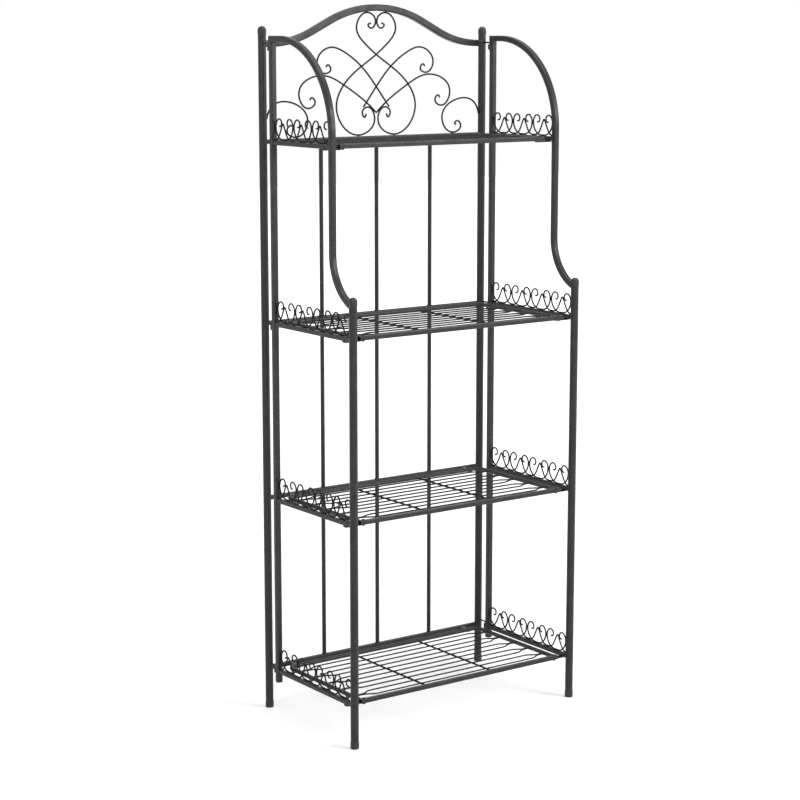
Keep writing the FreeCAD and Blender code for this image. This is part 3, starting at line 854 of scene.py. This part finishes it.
def makeBeads(spots):
    # little weld blobs, each turned and sized a bit differently
    bm = bmesh.new()
    for spot in spots:
        radius = weldSpec["radius"] * rng.uniform(*weldSpec["vary"])
        made = bmesh.ops.create_uvsphere(bm, u_segments=weldSpec["around"],
                                         v_segments=weldSpec["upward"], radius=radius)
        verts = made["verts"]
        turned = Matrix.Rotation(rng.uniform(0, weldSpec["turn"]), 3, "Z")
        tipped = Matrix.Rotation(rng.uniform(0, weldSpec["turn"]), 3, "X")
        bmesh.ops.rotate(bm, verts=verts, cent=(0, 0, 0), matrix=turned @ tipped)
        bmesh.ops.scale(bm, vec=weldSpec["flatten"], verts=verts)
        bmesh.ops.translate(bm, vec=Vector(spot), verts=verts)
    return finishMesh(bm)


for body, spots in weldSpots.items():
    placePiece(body.replace("_", "") + "Welds", makeBeads(spots), body, "weldPaint")
print("welds made")


def seenDirectly(tree):
    # 1 for what the camera sees, also in a reflection
    rays = tree.nodes.new("ShaderNodeLightPath").outputs
    seen = addMath(tree, "MAXIMUM", rays["Is Camera Ray"], rays["Is Glossy Ray"])
    return addMath(tree, "MAXIMUM", seen, rays["Is Transmission Ray"])


# the floor glows more with distance, so that it ends unseen against the white
floorSpec = {"size": 14, "color": (0.86, 0.86, 0.86, 1), "roughness": 0.9, "gloss": 0.1,
             "nearDistance": 0.9, "farDistance": 4.5, "nearGlow": 0.34, "farGlow": 1.0}


def makeFloor():
    bm = bmesh.new()
    bmesh.ops.create_grid(bm, x_segments=2, y_segments=2, size=floorSpec["size"])
    mesh = bpy.data.meshes.new("studioFloor")
    bm.to_mesh(mesh)
    bm.free()
    floor = bpy.data.objects.new("studioFloor", mesh)
    scene.collection.objects.link(floor)
    paint = bpy.data.materials.new("paleFloor")
    paint.use_nodes = True
    tree = paint.node_tree
    coords = tree.nodes.new("ShaderNodeTexCoord")
    distance = tree.nodes.new("ShaderNodeVectorMath")
    distance.operation = "LENGTH"
    feed(tree, distance, {0: coords.outputs["Object"]})
    glow = addRange(tree, distance.outputs["Value"], floorSpec["nearDistance"],
                    floorSpec["farDistance"], floorSpec["nearGlow"], floorSpec["farGlow"])
    feed(tree, tree.nodes["Principled BSDF"], {
        "Base Color": floorSpec["color"], "Roughness": floorSpec["roughness"],
        "Specular IOR Level": floorSpec["gloss"], "Emission Color": (1, 1, 1, 1),
        "Emission Strength": addMath(tree, "MULTIPLY", seenDirectly(tree), glow)})
    mesh.materials.append(paint)


airSpec = {"light": 0.4, "seen": 1.0}


def makeWorld():
    world = bpy.data.worlds.new("studioAir")
    scene.world = world
    world.use_nodes = True
    tree = world.node_tree
    strength = addRange(tree, seenDirectly(tree), 0, 1, airSpec["light"], airSpec["seen"])
    feed(tree, tree.nodes["Background"], {"Color": (1, 1, 1, 1), "Strength": strength})


lampTarget = Vector((0, 0, 0.8))
lamps = {
    "leftSoftbox": {"place": (-4.0, -1.6, 2.2), "size": 1.4, "power": 40},
    "rightSoftbox": {"place": (2.2, -3.5, 2.4), "size": 1.6, "power": 110},
    "topSoftbox": {"place": (0.3, -0.4, 4.4), "size": 2.4, "power": 90},
}


def makeLamp(name, place, size, power):
    light = bpy.data.lights.new(name, "AREA")
    light.shape = "SQUARE"
    light.size = size
    light.energy = power
    lamp = bpy.data.objects.new(name, light)
    scene.collection.objects.link(lamp)
    lamp.location = place
    lamp.rotation_mode = "QUATERNION"
    lamp.rotation_quaternion = (lampTarget - Vector(place)).to_track_quat("-Z", "Y")


makeFloor()
makeWorld()
for name, lamp in lamps.items():
    makeLamp(name, **lamp)

cameraSpec = {"place": (-2.7066, -3.6815, 1.5323), "yaw": 35.728, "pitch": 10.143,
              "lens": 91.91, "sensor": 36, "farthest": 60}
view = bpy.data.cameras.new("viewCamera")
view.lens = cameraSpec["lens"]
view.sensor_width = cameraSpec["sensor"]
view.clip_end = cameraSpec["farthest"]
camera = bpy.data.objects.new("viewCamera", view)
scene.collection.objects.link(camera)
camera.location = cameraSpec["place"]
camera.rotation_euler = (math.radians(90 - cameraSpec["pitch"]), 0,
                         math.radians(-cameraSpec["yaw"]))
scene.camera = camera
print("stage and camera set")
